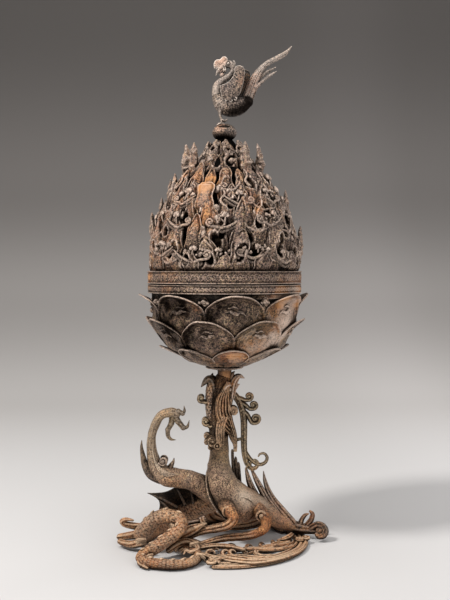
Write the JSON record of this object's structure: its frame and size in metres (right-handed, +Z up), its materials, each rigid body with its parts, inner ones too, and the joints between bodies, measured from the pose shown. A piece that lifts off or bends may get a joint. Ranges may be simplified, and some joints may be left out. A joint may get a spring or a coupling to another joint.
{
  "type": "hill censer",
  "caption": "Footed bronze incense burner: lotus-petalled bowl under a pierced lift-off hill lid with a bird finial, held on a stem in the jaws of a dragon coiled into an openwork foot.",
  "frame": {"origin": "on the floor, under the axis of the bowl and lid", "axes": "+Z up along the axis of the bowl; -Y is the front that the picture shows; +X to the viewer's right"},
  "size_m": [0.2632, 0.2222, 0.6155],
  "materials": {
    "patina_brown": "satin, brown patina",
    "patina_rust": "matt, ochre and rust-brown patina",
    "patina_olive": "satin, olive patina",
    "patina_dark": "matt, near-black patina",
    "worn_bronze": "satin, rubbed pale on the edges"
  },
  "bodies": {
    "stand": {"wave_ring_front": "patina_rust", "wave_ring_right": "patina_rust", "wave_ring_back": "patina_brown", "base_scrolls": "patina_rust", "dragon_body": "patina_brown", "dragon_neck": "patina_olive", "dragon_head": "patina_brown", "upper_jaw": "patina_brown", "lower_jaw": "patina_rust", "mane": "patina_olive", "horn_strand": "patina_olive", "whisker_curls": "patina_olive", "raised_foreleg": "patina_olive", "raised_claw": "patina_dark", "elbow_flame": "patina_brown", "front_leg": "patina_rust", "right_leg": "patina_rust", "rear_left_leg": "patina_brown", "rear_right_leg": "patina_brown", "tail_coil": "patina_rust", "tail_fin": "patina_dark", "back_flames": "patina_brown", "right_scroll": "patina_brown", "left_scrolls": "patina_rust", "stem_tube": "patina_dark", "tie_rod": "patina_dark", "calyx_disc": "patina_rust", "bowl_shell": "patina_brown", "bowl_band": "patina_olive", "petals_lower": "patina_olive", "petals_middle": "patina_brown", "petals_upper": "patina_brown"},
    "lid": {"lid_shell": "patina_brown", "lid_band": "patina_olive", "peaks_tier_1": "patina_brown", "peaks_tier_2": "patina_rust", "peaks_tier_3": "patina_olive", "peaks_tier_4": "patina_rust", "peaks_tier_5": "patina_brown", "summit_crown": "patina_dark", "pearl": "worn_bronze", "finial_pin": "patina_dark", "bird_body": "worn_bronze", "bird_neck_head": "worn_bronze", "bird_crest": "patina_rust", "bird_wing_left": "worn_bronze", "bird_wing_right": "worn_bronze", "bird_tail": "worn_bronze", "bird_legs": "patina_dark"}
  },
  "joints": [
    {"name": "lid_lift", "type": "slide", "parent": "stand", "child": "lid", "axis": [0, 0, 1], "range_m": [0, 0.15]}
  ]
}
